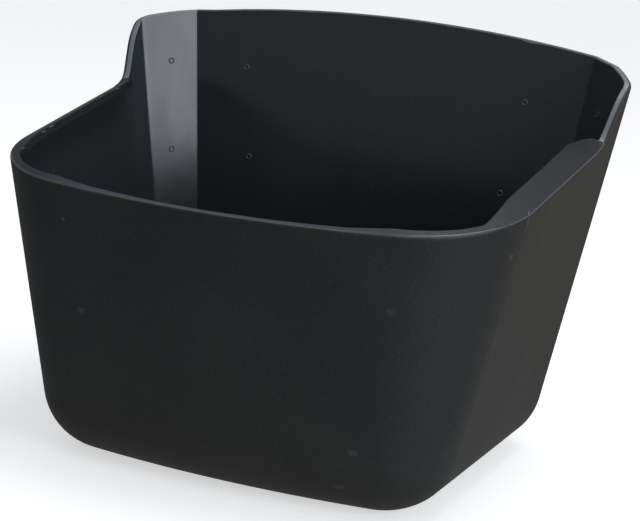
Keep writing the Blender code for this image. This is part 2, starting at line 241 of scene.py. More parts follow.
class BowlFinish(bpy.types.PropertyGroup):
    """Colours and surfaces of the polyethylene."""
    shell: tone("Shell", "Grained outside", (0.0122, 0.0123, 0.0122))
    shell_rub: tone("Rubbed shell", "Outside where it is rubbed", (0.0274, 0.0272, 0.0264))
    scuffed: tone("Scuffs", "Pale scuffs of the outside", (0.0900, 0.0900, 0.0880))
    inside: tone("Inside", "Satin inside", (0.0216, 0.0240, 0.0268))
    inside_speck: tone("Inside specks", "Fine pale grain of the inside", (0.0310, 0.0344, 0.0380))
    lip: tone("Lip", "Top of the inturned lip", (0.0208, 0.0222, 0.0264))
    # The lip's top is darker by the step and paler along the front; the code sets this by place round the
    # rim
    lip_dark: tone("Lip by the step", "Top of the lip where it is least rubbed", (0.0090, 0.0096, 0.0110))
    front_rim: tone("Front rim", "Top of the front rim, which is rubbed most", (0.0380, 0.0430, 0.0520))
    # Painted shade: both colours of the lip's inner edge are darker than the inside's, which is the same
    # polyethylene, to stand in for the shade on it
    shaded_brow: tone("Lip's inner edge", "Inner edge of the lip, which is dull", (0.0080, 0.0088, 0.0098))
    shaded_brow_glint: tone("Glints of the inner edge", "Fine pale grain of the lip's inner edge",
                     (0.0140, 0.0150, 0.0165))
    cut: tone("Cut edge", "Polyethylene that the knife has cut", (0.1500, 0.1640, 0.1800))
    cut_nick: tone("Nicks", "Pale nicks in the cut edge", (0.1900, 0.2030, 0.2180))
    # Partly wear, partly a painted highlight: the outer edge and its worn spots are paler than the lip, to
    # help the bright line along the crease
    burnished_and_highlight: tone("Outer edge", "The rim's outer edge, rubbed smooth", (0.0540, 0.0585, 0.0680))
    worn_edge_and_highlight: tone("Worn outer edge", "The outer edge where it is worn most",
                         (0.0700, 0.0740, 0.0800))
    mark: tone("Ring marks", "Raised rings, paler than the wall", (0.0440, 0.0480, 0.0520))
    sliver: tone("Slivers", "Thin shavings, which look paler", (0.1900, 0.1950, 0.2000))
    shell_roughness: dullness("Shell", 0.58)
    inside_roughness: dullness("Inside", 0.20)
    brow_roughness: dullness("Lip's inner edge", 0.50)
    lip_roughness: dullness("Lip", 0.54)
    mark_roughness: dullness("Ring marks", 0.25)
    cut_roughness: dullness("Cut edge", 0.40)
    burnished_roughness: dullness("Outer edge", 0.36)


class BowlStage(bpy.types.PropertyGroup):
    """Camera and light."""
    lens: bpy.props.FloatProperty(name="Lens", description="Focal length of the camera", default=95.625,
                                  unit="CAMERA")
    camera_turn: degrees("Camera turn", "Turn of the camera round the bowl", 21.995)
    camera_drop: degrees("Camera drop", "How far the camera looks down", 13.187)
    camera_roll: degrees("Camera roll", "Tilt of the camera about its own line of sight", 4.353)
    camera_place: bpy.props.FloatVectorProperty(
        name="Camera place", description="Where the camera stands", default=(0.42393, -1.009263, 0.385858),
        size=3, subtype="TRANSLATION")
    top_strength: watts("Top lamp", "Power of the soft lamp overhead", 10.0)
    side_strength: watts("Side lamp", "Power of the soft lamp at the right", 15.4)


def mix(first, last, share):
    """A value between two, by its share of the way."""
    return first + (last - first) * share


def divide(first, last, steps):
    """Evenly spaced values from the first up to just before the last."""
    return [mix(first, last, step / steps) for step in range(steps)]


def meeting(normal_a, offset_a, normal_b, offset_b):
    """Where two lines in plan meet, each given by its normal and its distance from the origin."""
    det = normal_a.x * normal_b.y - normal_a.y * normal_b.x
    return Vector(((offset_a * normal_b.y - offset_b * normal_a.y) / det,
                   (normal_a.x * offset_b - normal_b.x * offset_a) / det))


def on_stretch(stretch, share):
    """A point of a stretch of the plan, which is a line or an arc."""
    if stretch[0] == "line":
        return stretch[1].lerp(stretch[2], share)
    _, centre, radius, first, last = stretch
    angle = mix(first, last, share)
    return centre + radius * Vector((math.cos(angle), math.sin(angle)))


def stretch_length(stretch):
    if stretch[0] == "line":
        return (stretch[2] - stretch[1]).length
    return abs(stretch[4] - stretch[3]) * stretch[2]


def rounded(before, corner, after, radius, steps):
    """Points of an arc that rounds a corner between two straight lines."""
    into = (corner - before).normalized()
    out = (after - corner).normalized()
    turn = into.angle(out)
    start = corner - into * radius * math.tan(turn / 2)
    inward = (out - into * into.dot(out)).normalized()
    points = []
    for step in range(steps + 1):
        swung = turn * step / steps
        points.append(start + into * radius * math.sin(swung) + inward * radius * (1 - math.cos(swung)))
    return points


def smooth_turn(start, corner, end, steps):
    """Points of a curve that leaves its start towards a corner and comes to its end from there."""
    shares = [step / steps for step in range(steps + 1)]
    return [start * (1 - share) ** 2 + corner * 2 * share * (1 - share) + end * share ** 2
            for share in shares]


def humps(table, side, spot, power):
    """The sum of one side's humps at a spot, from their middles, half widths and heights."""
    return sum(most * max(1 - ((spot - middle) / half) ** 2, 0.0) ** power
               for where, middle, half, most in table if where == side)


class Tub:
    """Where the wall and the rim of the tub run, from the sizes in the panel."""
    LEAST_RADIUS = 0.0004
    RIM_TRIES = 8
    STEP_START = 0.14    # the first column of the step, as a share of its way from the back's edge

    # Divisions round the plan, then up the wall and over the rim
    FRONT_STEPS = 22
    CORNER_STEPS = 26
    SIDE_STEPS = 30
    ARC_STEPS = 10
    DROP_STEPS = 5
    BEVEL_STEPS = 16
    HEEL_STEPS = 6
    BACK_STEPS = 20
    FOOT_STEPS = 14
    WALL_STEPS = 7
    CREASE_STEPS = 6
    EDGE_STEPS = 4
    TOP_SHARES = (0.35, 0.7)

    # The lip: the width from which it is cut square, the rounding of its outer edge, and how the section
    # runs on below its inner edge
    LIP_FULL = 0.0105
    LIP_CREASE = 0.0010
    CUT_IN = 0.0018
    CUT_DOWN = 0.0040
    LIP_TURN = (0.0012, 0.0012)
    LIP_ROOT = 0.0032

    # How the section runs on where the rim is plain
    RIM_LAND = 0.0012
    RIM_TURN = 0.0018
    RIM_ROOT = 0.0027

    # The knife's waver: scale of the noise along the rim and between the sides and its layer, and how far on
    # and at what share the rim's height takes it
    WAVER_NOISE = (9.0, 5.0, 1.7)
    HEIGHT_SHIFT = 3.0
    HEIGHT_SHARE = 0.5

    def __init__(self, shape):
        self.shape = shape
        self.side_normal = Vector((math.cos(shape.side_turn), -math.sin(shape.side_turn)))
        self.bevel_normal = Vector((math.sin(shape.bevel_angle), math.cos(shape.bevel_angle)))
        self.known = {}
        front = self.wall_point(FRONT, self.side_rim_height(FRONT)).y
        back = self.back_place(self.back_rim_height(BACK + 1))
        self.shift = Vector((0.0, (front + back) / 2, 0.0))

    def at_height(self, foot, top, height):
        """A size that grows evenly from the foot to the back's height."""
        return mix(foot, top, height / self.shape.back_height)

    def back_place(self, height):
        """Y of the outer face of the back wall."""
        return -self.at_height(self.shape.back_lean, 0.0, height)

    def bevel_offset(self, height, inset):
        """Distance of the bevel's face from the origin, in plan."""
        half = self.at_height(*self.shape.back_half, height)
        return self.bevel_normal.dot(Vector((half, self.back_place(height)))) - inset

    def plan(self, height, inset=0.0):
        """The right half of the wall's plan, as stretches."""
        s = self.shape
        side = self.at_height(*s.side, height) - inset
        back = self.back_place(height) - inset
        front = inset - self.at_height(*s.front, height)
        bevel = self.bevel_offset(height, inset)
        bow = s.front_radius - inset
        corner = max(self.at_height(*s.corner, height) - inset, self.LEAST_RADIUS)
        shoulder = max(s.shoulder_radius - inset, self.LEAST_RADIUS)
        heel = max(s.heel_radius - inset, self.LEAST_RADIUS)
        bow_centre = Vector((0.0, front + bow))
        along = Vector((self.side_normal.y, -self.side_normal.x))
        start = self.side_normal * (side - corner) - bow_centre
        reach = start.dot(along)
        corner_centre = bow_centre + start + along * (
            math.sqrt(reach ** 2 - start.length_squared + (bow - corner) ** 2) - reach)
        shoulder_centre = meeting(self.side_normal, side - shoulder, self.bevel_normal, bevel - shoulder)
        heel_centre = meeting(self.bevel_normal, bevel - heel, Vector((0.0, 1.0)), back - heel)
        tangent = math.atan2(*(corner_centre - bow_centre).yx)
        side_angle = math.atan2(*self.side_normal.yx)
        bevel_angle = math.atan2(*self.bevel_normal.yx)
        return (
            ("arc", bow_centre, bow, -math.pi / 2, tangent),
            ("arc", corner_centre, corner, tangent, side_angle),
            ("line", corner_centre + self.side_normal * corner,
             shoulder_centre + self.side_normal * shoulder),
            ("arc", shoulder_centre, shoulder, side_angle, bevel_angle),
            ("line", shoulder_centre + self.bevel_normal * shoulder,
             heel_centre + self.bevel_normal * heel),
            ("arc", heel_centre, heel, bevel_angle, math.pi / 2),
            ("line", Vector((heel_centre.x, back)), Vector((0.0, back))),
        )

    def plan_point(self, place, height, inset=0.0):
        """A point of the plan, at a place round it."""
        number = min(int(place), BACK)
        return on_stretch(self.plan(height, inset)[number], place - number)

    def flare(self, place):
        """How much faster the wall leans out at a place than it does at the back."""
        if place not in self.known:
            y = self.plan_point(place, self.shape.side_rim).y
            self.known[place] = 1 + self.shape.flare * max(self.shape.flare_start - y, 0.0)
        return self.known[place]

    def wall_point(self, place, height, inset=0.0):
        """A point of the wall at a place round the plan."""
        spot = self.plan_point(place, height * self.flare(place), inset)
        return Vector((spot.x, spot.y, height))

    def place_at(self, length, height):
        """The place that lies a given length along the wall, forwards from the back's edge."""
        stretches = self.plan(height)
        left = length + stretch_length(stretches[HEEL]) / 2
        for number in (HEEL, BEVEL, SHOULDER, SIDE):
            whole = stretch_length(stretches[number])
            if left <= whole:
                return number + 1 - left / whole
            left -= whole
        raise ValueError("the step of the rim is longer than the wall")

    def side_rim(self, y):
        """Height of the rim's crease along the sides and the front."""
        return self.shape.side_rim + self.shape.side_rim_slope * y

    def side_rim_height(self, place):
        """The height at which a place of the leaning wall meets the sloping rim."""
        height = self.shape.side_rim
        for _ in range(self.RIM_TRIES):
            height = self.side_rim(self.wall_point(place, height).y)
        return height

    def back_rim_height(self, place):
        """Height of the arched rim of the back."""
        s = self.shape
        x = self.wall_point(place, s.back_height).x
        return s.back_height + s.back_arch * (1 - (x / s.back_half[1]) ** 2)

    def step_of_rim(self):
        """The rim from the back's edge over the step to the side: places and heights, front to back."""
        s = self.shape
        edge = Vector((0.0, s.back_height))
        top = Vector((s.step_top, s.step_top_height))
        foot_place = self.place_at(s.step_foot, s.step_top_height)
        foot = Vector((s.step_foot, self.side_rim(self.wall_point(foot_place, s.side_rim).y)))
        ahead = foot + Vector((1.0, -s.side_rim_slope))
        upper = rounded(edge, top, foot, s.step_top_radius, self.ARC_STEPS)
        lower = rounded(top, foot, ahead, s.step_foot_radius, self.ARC_STEPS)
        drop = [upper[-1].lerp(lower[0], step / self.DROP_STEPS) for step in range(1, self.DROP_STEPS)]
        first = edge.lerp(upper[0], self.STEP_START)
        bevel = [first.lerp(upper[0], step / self.BEVEL_STEPS) for step in range(self.BEVEL_STEPS)]
        points = bevel + upper + drop + lower
        return [(self.place_at(length, height), height) for length, height in reversed(points)]

    def columns(self):
        """Places round the right half, from the front's middle to the back's, with the rim's heights."""
        step = self.step_of_rim()
        places = divide(FRONT, CORNER, self.FRONT_STEPS) + divide(CORNER, SIDE, self.CORNER_STEPS)
        places += divide(SIDE, step[0][0], self.SIDE_STEPS)
        low = [(place, self.side_rim_height(place)) for place in places]
        behind = divide(HEEL, BACK, self.HEEL_STEPS)[1:]
        behind += divide(BACK, BACK + 1, self.BACK_STEPS) + [BACK + 1]
        high = [(place, self.back_rim_height(place)) for place in behind]
        return low + step + high

    def rim_edge(self, place):
        """How far in and up the rim's inner edge stands at a place."""
        for before, after in zip(RIM_EDGE, RIM_EDGE[1:]):
            if place <= after[0]:
                share = (place - before[0]) / (after[0] - before[0])
                return mix(before[1], after[1], share), mix(before[2], after[2], share)
        return RIM_EDGE[-1][1:]

    def edge_of_flat(self, beyond, height):
        """Where the flat of the base ends, on the way from its middle to a point beyond it."""
        right = [Vector(corner) for corner in FLAT_CORNERS]
        ring = [Vector((-right[0].x, right[0].y))] + right + [Vector((-right[-1].x, right[-1].y))]
        for first, last in zip(ring, ring[1:]):
            spot = intersect_line_line_2d(Vector(FLAT_MIDDLE), beyond.xy, first, last)
            if spot:
                return Vector((spot.x, spot.y, height))
        raise ValueError("the foot of the wall lies inside the flat base")

    def foot_points(self, place, inset):
        """The rounded foot of the wall at a place, from the flat base up to the wall."""
        height = self.shape.back_height
        run = self.wall_point(place, height) - self.wall_point(place, 0.0)
        lean = math.atan(Vector((run.x, run.y)).length / height)
        radius = self.shape.foot_radius - inset
        points = []
        for step in range(1, self.FOOT_STEPS + 1):
            angle = (math.pi / 2 - lean) * step / self.FOOT_STEPS
            inward = radius * (1 / math.cos(lean) - math.cos(angle) * math.tan(lean) - math.sin(angle))
            points.append(self.wall_point(place, radius * (1 - math.cos(angle)) + inset, inset + inward))
        return [self.edge_of_flat(points[0], inset)] + points

    def wall_run(self, place, low, high, inset):
        """Points between the foot and the rim."""
        return [self.wall_point(place, height, inset) for height in divide(low, high, self.WALL_STEPS)[1:]]

    def waver(self, place, side):
        """How far the knife strayed from its line at a place."""
        along, across, layer = self.WAVER_NOISE
        return noise.noise(Vector((place * along, side * across, layer))) * self.shape.trim_waver

    def length_from_back(self, place):
        """Length along the wall from the back's edge forwards to a place, at the height of the back."""
        lengths = [stretch_length(stretch) for stretch in self.plan(self.shape.back_height)]
        number = min(int(place), BACK)
        return sum(lengths[number:BACK]) - (place - number) * lengths[number] - lengths[HEEL] / 2

    def trimmed(self, place, side):
        """How far the hand-trimmed rim lies above its even line at a place."""
        return humps(TRIMS, side, self.length_from_back(place), 2)

    def section(self, place, rim, side):
        """One cut through the wall: its points, and the surface of each stretch between them."""
        s = self.shape
        rim += self.trimmed(place, side)
        inward, upward = self.rim_edge(place)
        lip = min(max((inward - s.wall) / (self.LIP_FULL - s.wall), 0.0), 1.0)
        inward += self.waver(place, side) * lip
        upward += self.waver(place + self.HEIGHT_SHIFT, side) * self.HEIGHT_SHARE
        to_edge = Vector((inward, upward))
        slope = to_edge.normalized()
        radius = mix(s.crease_radius, self.LIP_CREASE, lip)
        outside = self.foot_points(place, 0.0)
        outside += self.wall_run(place, outside[-1].z, rim - radius, 0.0)
        crease = smooth_turn(Vector((0.0, -radius)), Vector((0.0, 0.0)), slope * radius, self.CREASE_STEPS)
        slip = humps(SLIPS, side, place, 1)
        cut = Vector((self.CUT_IN * lip, -mix(self.RIM_LAND + slip, self.CUT_DOWN, lip)))
        before = to_edge - slope * s.edge_radius
        after = to_edge + cut.normalized() * s.edge_radius
        top = [mix(crease[-1], before, share) for share in self.TOP_SHARES]
        turn = smooth_turn(before, to_edge, after, self.EDGE_STEPS)
        under = Vector((s.wall + self.LIP_TURN[0] * lip, -mix(self.RIM_TURN + slip, self.LIP_TURN[1], lip)))
        root = mix(self.RIM_ROOT + slip, self.LIP_ROOT, lip)
        outline = crease + top + turn + [to_edge + cut, under, Vector((s.wall, -root))]
        over = [self.wall_point(place, rim + spot.y, spot.x) for spot in outline]
        inside = self.foot_points(place, s.wall)
        inside += self.wall_run(place, inside[-1].z, rim - root, s.wall)
        inside.reverse()
        rounds = self.CREASE_STEPS // 2
        kinds = [SHELL] * (len(outside) + self.CREASE_STEPS - rounds)
        kinds += [BURNISHED] * rounds + [LIP] * (len(top) + 1) + [CUT] * (self.EDGE_STEPS + 1)
        kinds += [INSIDE] * (2 + len(inside))
        return outside + over + inside, kinds


def raise_loop(mesh, loop, spots):
    """Extrudes the open loop of a wall and puts each new vertex at its spot."""
    edges = [mesh.edges.get(pair) for pair in zip(loop, loop[1:] + loop[:1])]
    made = bmesh.ops.extrude_edge_only(mesh, edges=edges)["geom"]
    fresh = {item for item in made if isinstance(item, bmesh.types.BMVert)}
    raised = [next(e.other_vert(v) for e in v.link_edges if e.other_vert(v) in fresh) for v in loop]
    for vert, spot in zip(raised, spots):
        vert.co = spot
    return raised, [item for item in made if isinstance(item, bmesh.types.BMFace)]


def fresh_verts(mesh):
    """The vertices that were made since the last call."""
    fresh = [vert for vert in mesh.verts if not vert.tag]
    for vert in fresh:
        vert.tag = True
    return fresh


def new_piece(name, mesh, materials):
    """Puts a finished bmesh into the scene as a piece of the bowl."""
    data = bpy.data.meshes.new(name)
    mesh.to_mesh(data)
    mesh.free()
    data.shade_smooth()
    data.set_sharp_from_angle(angle=SHARP_ANGLE)
    for material in materials:
        data.materials.append(material)
    piece = bpy.data.objects.new(name, data)
    bpy.context.scene.collection.objects.link(piece)
    return piece


def feed(node, name, value):
    """Sets an input of a shader node, or links another node's output to it."""
    if isinstance(value, bpy.types.NodeSocket):
        node.id_data.links.new(value, node.inputs[name])
    else:
        node.inputs[name].default_value = value


def add_node(tree, kind, inputs=()):
    """A new shader node, with some of its inputs set or linked."""
    node = tree.nodes.new("ShaderNode" + kind)
    for name, value in dict(inputs).items():
        feed(node, name, value)
    return node


def start_material(name, roughness, specular=0.5):
    """A new node material and its shader."""
    material = bpy.data.materials.new(name)
    material.use_nodes = True
    shader = material.node_tree.nodes["Principled BSDF"]
    feed(shader, "Roughness", roughness)
    feed(shader, "Specular IOR Level", specular)
    return material, material.node_tree, shader


def own_place(tree, inputs):
    """The piece's own coordinates, through a Mapping node with some of its inputs set."""
    place = add_node(tree, "TexCoord").outputs["Object"]
    return add_node(tree, "Mapping", {"Vector": place, **inputs})


def grain(tree, scale, detail, stretch=(1.0, 1.0, 1.0)):
    """A noise on the piece's own coordinates."""
    place = own_place(tree, {"Scale": stretch}).outputs["Vector"]
    return add_node(tree, "TexNoise", {"Vector": place, "Scale": scale, "Detail": detail}).outputs["Fac"]


def remap(tree, value, low, high, new_low, new_high):
    """Stretches a range of a value onto another range."""
    ends = {"From Min": low, "From Max": high, "To Min": new_low, "To Max": new_high}
    return add_node(tree, "MapRange", {"Value": value, **ends}).outputs["Result"]


def length_of(tree, vector):
    """The length of a vector."""
    node = add_node(tree, "VectorMath", {"Vector": vector})
    node.operation = "LENGTH"
    return node.outputs["Value"]


def add_up(tree, first, second, kept_in=True):
    """The sum of two values, kept between 0 and 1 if asked."""
    node = add_node(tree, "Math", {0: first, 1: second})
    node.use_clamp = kept_in
    return node.outputs["Value"]


def blend(tree, share, first, last):
    """A colour between two, by a share that changes over the surface."""
    node = add_node(tree, "Mix")
    node.data_type = "RGBA"
    feed(node, "A", (*first, 1.0))
    feed(node, "B", (*last, 1.0))
    feed(node, "Factor", share)
    return node.outputs["Result"]


def tint(tree, share, ground, colour):
    """A colour laid over another that changes over the surface."""
    laid = blend(tree, share, colour, colour)
    feed(laid.node, "A", ground)
    return laid


def speckle(tree, shader, pattern, low, high, first, last):
    """Colours the surface from one colour to another, as a pattern runs from low to high."""
    feed(shader, "Base Color", blend(tree, remap(tree, pattern, low, high, 0.0, 1.0), first, last))


def vary_roughness(tree, shader, pattern, low, high, less, more):
    """Lets the roughness stray from its set value, as a pattern runs from low to high."""
    usual = shader.inputs["Roughness"].default_value
    feed(shader, "Roughness", remap(tree, pattern, low, high, usual - less, usual + more))


def add_bump(tree, shader, pattern, height, under=None):
    """Raises a pattern on the surface, over another bump if there is one."""
    bump = add_node(tree, "Bump", {"Height": pattern, "Distance": height})
    if under:
        feed(bump, "Normal", under)
    feed(shader, "Normal", bump.outputs["Normal"])
    return bump.outputs["Normal"]


def along_rim(tree, first, last, most=1.0):
    """A share that grows from nothing between two places round the plan."""
    place = add_node(tree, "Attribute")
    place.attribute_name = "place"
    return remap(tree, place.outputs["Fac"], first, last, 0.0, most)


def scuff(tree, spot, reach, strength):
    """A pale smudge with a ragged edge round a spot, given with its reach along each axis."""
    mapping = own_place(tree, {"Location": spot, "Scale": reach})
    mapping.vector_type = "TEXTURE"
    ragged = remap(tree, grain(tree, *SCUFF_EDGE), 0.3, 0.7, -0.35, 0.35)
    away = add_up(tree, length_of(tree, mapping.outputs["Vector"]), ragged, kept_in=False)
    return remap(tree, away, 0.2, 1.0, strength, 0.0)


def shell_material(finish):
    """Grained outside, paler where it is rubbed and dusty, with a few scuffs."""
    material, tree, shader = start_material("grained_polyethylene", finish.shell_roughness)
    patches = remap(tree, grain(tree, *PATCHES), 0.42, 0.68, 0.0, 0.35)
    dust = remap(tree, grain(tree, *DUST), 0.54, 0.72, 0.0, 0.7)
    ground = blend(tree, add_up(tree, patches, dust), finish.shell, finish.shell_rub)
    for spot, reach, strength in SCUFFS:
        ground = tint(tree, scuff(tree, spot, reach, strength), ground, finish.scuffed)
    feed(shader, "Base Color", ground)
    coarse = add_bump(tree, shader, grain(tree, *SHELL_GRAIN), 0.00018)
    add_bump(tree, shader, grain(tree, *SHELL_DIMPLES), 0.00008, coarse)
    return material


def inside_material(finish):
    """Satin inside, with the faint drag of the mould and a fine grain."""
    material, tree, shader = start_material("satin_polyethylene", finish.inside_roughness, 0.39)
    vary_roughness(tree, shader, grain(tree, *MOULD_DRAG), 0.35, 0.7, 0.02, 0.04)
    speckle(tree, shader, grain(tree, *SPECKS), 0.5, 0.78, finish.inside, finish.inside_speck)
    waves = add_bump(tree, shader, grain(tree, *WAVES), 0.00006)
    add_bump(tree, shader, grain(tree, *INSIDE_GRAIN), 0.00003, waves)
    return material


def lip_material(finish):
    """Top of the rim: darkest on the lip by the step, palest along the front, with fine scratches."""
    material, tree, shader = start_material("lip_polyethylene", finish.lip_roughness, 0.38)
    worn = remap(tree, grain(tree, *LIP_WEAR), 0.3, 0.75, -0.15, 0.25)
    # Paler from the step forwards, with a ragged noise
    rubbed = add_up(tree, along_rim(tree, *LIP_PALER, most=0.8), worn)
    side = blend(tree, rubbed, finish.lip_dark, finish.lip)
    ground = tint(tree, along_rim(tree, *FRONT_PALER), side, finish.front_rim)
    feed(shader, "Base Color", ground)
    scratches = add_bump(tree, shader, grain(tree, *SCRATCHES), 0.00005)
    add_bump(tree, shader, grain(tree, *LIP_GRAIN), 0.00013, scratches)
    return material


def shaded_brow_material(finish):
    """The lip's inner edge, dull and finely grained, in colours painted darker than the inside as shade."""
    material, tree, shader = start_material("shaded_brow_polyethylene", finish.brow_roughness, 0.14)
    speckle(tree, shader, grain(tree, *GLINTS), 0.5, 0.75, finish.shaded_brow, finish.shaded_brow_glint)
    add_bump(tree, shader, grain(tree, *BROW_GRAIN), 0.00005)
    return material


def mark_material(finish):
    """The ring marks, smooth and a little paler than the wall."""
    material, tree, shader = start_material("mark_polyethylene", finish.mark_roughness)
    fine = grain(tree, *BEAD_GRAIN)
    vary_roughness(tree, shader, fine, 0.3, 0.7, 0.04, 0.08)
    speckle(tree, shader, fine, 0.35, 0.7, finish.mark, finish.worn_edge_and_highlight)
    add_bump(tree, shader, fine, 0.00002)
    return material


def sliver_material(finish):
    """Thin shavings that still hang on the rim."""
    material, tree, shader = start_material("sliver_polyethylene", finish.cut_roughness)
    streaks = grain(tree, *STREAKS)
    speckle(tree, shader, streaks, 0.35, 0.7, finish.cut_nick, finish.sliver)
    add_bump(tree, shader, streaks, 0.00005)
    return material


def cut_material(finish):
    """Polyethylene that the knife has cut."""
    material, tree, shader = start_material("cut_polyethylene", finish.cut_roughness)
    nicks = grain(tree, *NICKS)
    speckle(tree, shader, nicks, 0.4, 0.7, finish.cut, finish.cut_nick)
    add_bump(tree, shader, nicks, 0.00008)
    return material


def burnished_highlight_material(finish):
    """The rim's rounded outer edge, rubbed smooth, its paler colour partly wear and partly a painted
    highlight.
    """
    material, tree, shader = start_material("burnished_highlight_polyethylene", finish.burnished_roughness)
    worn = grain(tree, *EDGE_WEAR)
    speckle(tree, shader, worn, 0.35, 0.7, finish.burnished_and_highlight, finish.worn_edge_and_highlight)
    vary_roughness(tree, shader, worn, 0.3, 0.75, 0.03, 0.05)
    add_bump(tree, shader, grain(tree, *EDGE_GRAIN), 0.000015)
    return material


class BOWL_OT_mould_tub(bpy.types.Operator):
    """Raises the tub's skin from its base over the rim to its floor"""
    bl_idname = "bowl.mould_tub"
    bl_label = "Mould the tub"

    # Materials in the order of the surfaces, and the surfaces that change before, on and behind the lip
    MATERIALS = (shell_material, lip_material, cut_material, burnished_highlight_material, inside_material,
                 shaded_brow_material)
    CHANGES = {CUT: (LIP, BROW, CUT), LIP: (LIP, LIP, CUT), BURNISHED: (BURNISHED, BURNISHED, SHELL)}

    def surface(self, kind, place):
        """The surface of a face, from the stretch of the section that it belongs to and its place."""
        ends_passed = sum(place > end for end in LIP_PLACES)
        return self.CHANGES[kind][ends_passed] if kind in self.CHANGES else kind

    def execute(self, context):
        tub = Tub(context.scene.bowl_shape)
        finish = context.scene.bowl_finish
        columns = tub.columns()
        cuts = {side: [tub.section(place, rim, side) for place, rim in columns] for side in (1, -1)}
        kinds = cuts[1][0][1]
        rows = {side: list(zip(*(points for points, _ in cuts[side]))) for side in (1, -1)}
        places = [place for place, _ in columns]
        places += places[-2:0:-1]
        mesh = bmesh.new()
        marker = mesh.verts.layers.float.new("place")
        ring = []
        for right_row, left_row in zip(rows[1], rows[-1]):
            spots = [spot - tub.shift for spot in right_row]
            spots += [Vector((-spot.x, spot.y, spot.z)) - tub.shift for spot in left_row[-2:0:-1]]
            if not ring:
                ring = [mesh.verts.new(spot) for spot in spots]
                mesh.faces.new(ring).material_index = SHELL
                continue
            ring, faces = raise_loop(mesh, ring, spots)
            kind = kinds.pop(0)
            for vert, place in zip(ring, places):
                vert[marker] = place
            for face in faces:
                middle = sum(vert[marker] for vert in face.verts if vert in ring) / 2
                face.material_index = self.surface(kind, middle)
        mesh.faces.new(ring).material_index = INSIDE
        bmesh.ops.recalc_face_normals(mesh, faces=mesh.faces[:])
        piece = new_piece("tub", mesh, [make(finish) for make in self.MATERIALS])
        even = piece.modifiers.new("even_normals", "WEIGHTED_NORMAL")
        even.keep_sharp = True
        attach(piece, "root")
        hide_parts("bowl")
        return {"FINISHED"}


class BOWL_OT_raise_marks(bpy.types.Operator):
    """Sets the eight ring marks inside the back and the bevels"""
    bl_idname = "bowl.raise_marks"
    bl_label = "Raise the ring marks"
    RING_STEPS = 28
    BEAD_SIDES = 10
    FLATTEN = 0.80
    MERGE = 0.00001

    def frames(self, tub, detail):
        """Where the marks lie, as matrices whose Z points into the tub."""
        shape = tub.shape
        rows = ((detail.mark_upper, detail.mark_back_upper), (detail.mark_lower, detail.mark_back_lower))
        top = tub.bevel_offset(shape.back_height, shape.wall)
        rise = (top - tub.bevel_offset(0.0, shape.wall)) / shape.back_height
        forward = Vector((tub.bevel_normal.y, -tub.bevel_normal.x))
        from_back = Vector((0.0, -1.0, shape.back_lean / shape.back_height))
        from_bevel = Vector((-tub.bevel_normal.x, -tub.bevel_normal.y, rise))
        for height, half in rows:
            back = Vector((half, tub.back_place(height) - shape.wall))
            offset = tub.bevel_offset(height, shape.wall)
            edge = meeting(tub.bevel_normal, offset, Vector((0.0, 1.0)), back.y)
            bevel = edge + forward * detail.mark_bevel
            for spot, facing in ((back, from_back), (bevel, from_bevel)):
                for side in (1, -1):
                    turned = Vector((facing.x * side, facing.y, facing.z)).to_track_quat("Z", "X")
                    seat = Vector((spot.x * side, spot.y, height)) - tub.shift
                    yield Matrix.LocRotScale(seat, turned, None)

    def execute(self, context):
        tub = Tub(context.scene.bowl_shape)
        detail = context.scene.bowl_detail
        mesh = bmesh.new()
        middle = detail.mark_radius - detail.mark_line / 2
        for place in self.frames(tub, detail):
            upright = Matrix.Translation((middle, 0.0, 0.0)) @ Matrix.Rotation(math.pi / 2, 4, "X")
            bead = bmesh.ops.create_circle(mesh, segments=self.BEAD_SIDES, radius=detail.mark_line / 2,
                                           matrix=upright)["verts"]
            edges = list({edge for vert in bead for edge in vert.link_edges})
            bmesh.ops.spin(mesh, geom=bead + edges, cent=(0.0, 0.0, 0.0), axis=(0.0, 0.0, 1.0),
                           angle=2 * math.pi, steps=self.RING_STEPS, use_merge=True)
            fresh = fresh_verts(mesh)
            bmesh.ops.scale(mesh, vec=(1.0, 1.0, self.FLATTEN), verts=fresh)
            bmesh.ops.transform(mesh, matrix=place, verts=fresh)
        bmesh.ops.remove_doubles(mesh, verts=mesh.verts[:], dist=self.MERGE)
        bmesh.ops.recalc_face_normals(mesh, faces=mesh.faces[:])
        piece = new_piece("ring_marks", mesh, (mark_material(context.scene.bowl_finish),))
        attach(piece, "root")
        return {"FINISHED"}


class BOWL_OT_leave_burrs(bpy.types.Operator):
    """Leaves the thin slivers that the trimming knife raised on the rim"""
    bl_idname = "bowl.leave_burrs"
    bl_label = "Leave the burrs"
    CUTS = 6
    TIP = 0.25     # width of a sliver's tip, as a share of its root's
    CURL = 0.35    # rise of a sliver's tip, as a share of its length

    def execute(self, context):
        tub = Tub(context.scene.bowl_shape)
        detail = context.scene.bowl_detail
        mesh = bmesh.new()
        for side, place, inward, upward, turn, length, width in BURRS:
            rim = tub.side_rim_height(place) + tub.trimmed(place, side)
            spot = tub.wall_point(place, rim + upward, inward) - tub.shift
            seat = Matrix.Translation((spot.x * side, spot.y, spot.z))
            seat @= Matrix.Rotation(math.radians(turn), 4, "Z")
            verts = bmesh.ops.create_cube(mesh, size=1.0)["verts"]
            bmesh.ops.scale(mesh, vec=(length, width, detail.burr_thickness), verts=verts)
            edges = {edge for vert in verts for edge in vert.link_edges}
            long = [edge for edge in edges if abs(edge.verts[0].co.x - edge.verts[1].co.x) > length / 2]
            bmesh.ops.subdivide_edges(mesh, edges=long, cuts=self.CUTS, use_grid_fill=True)
            fresh = fresh_verts(mesh)
            for vert in fresh:
                share = vert.co.x / length + 0.5
                vert.co.y *= mix(1.0, self.TIP, share)
                vert.co.z += length * self.CURL * share ** 2
            bmesh.ops.transform(mesh, matrix=seat, verts=fresh)
        bmesh.ops.recalc_face_normals(mesh, faces=mesh.faces[:])
        piece = new_piece("trim_burrs", mesh, (sliver_material(context.scene.bowl_finish),))
        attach(piece, "root")
        return {"FINISHED"}


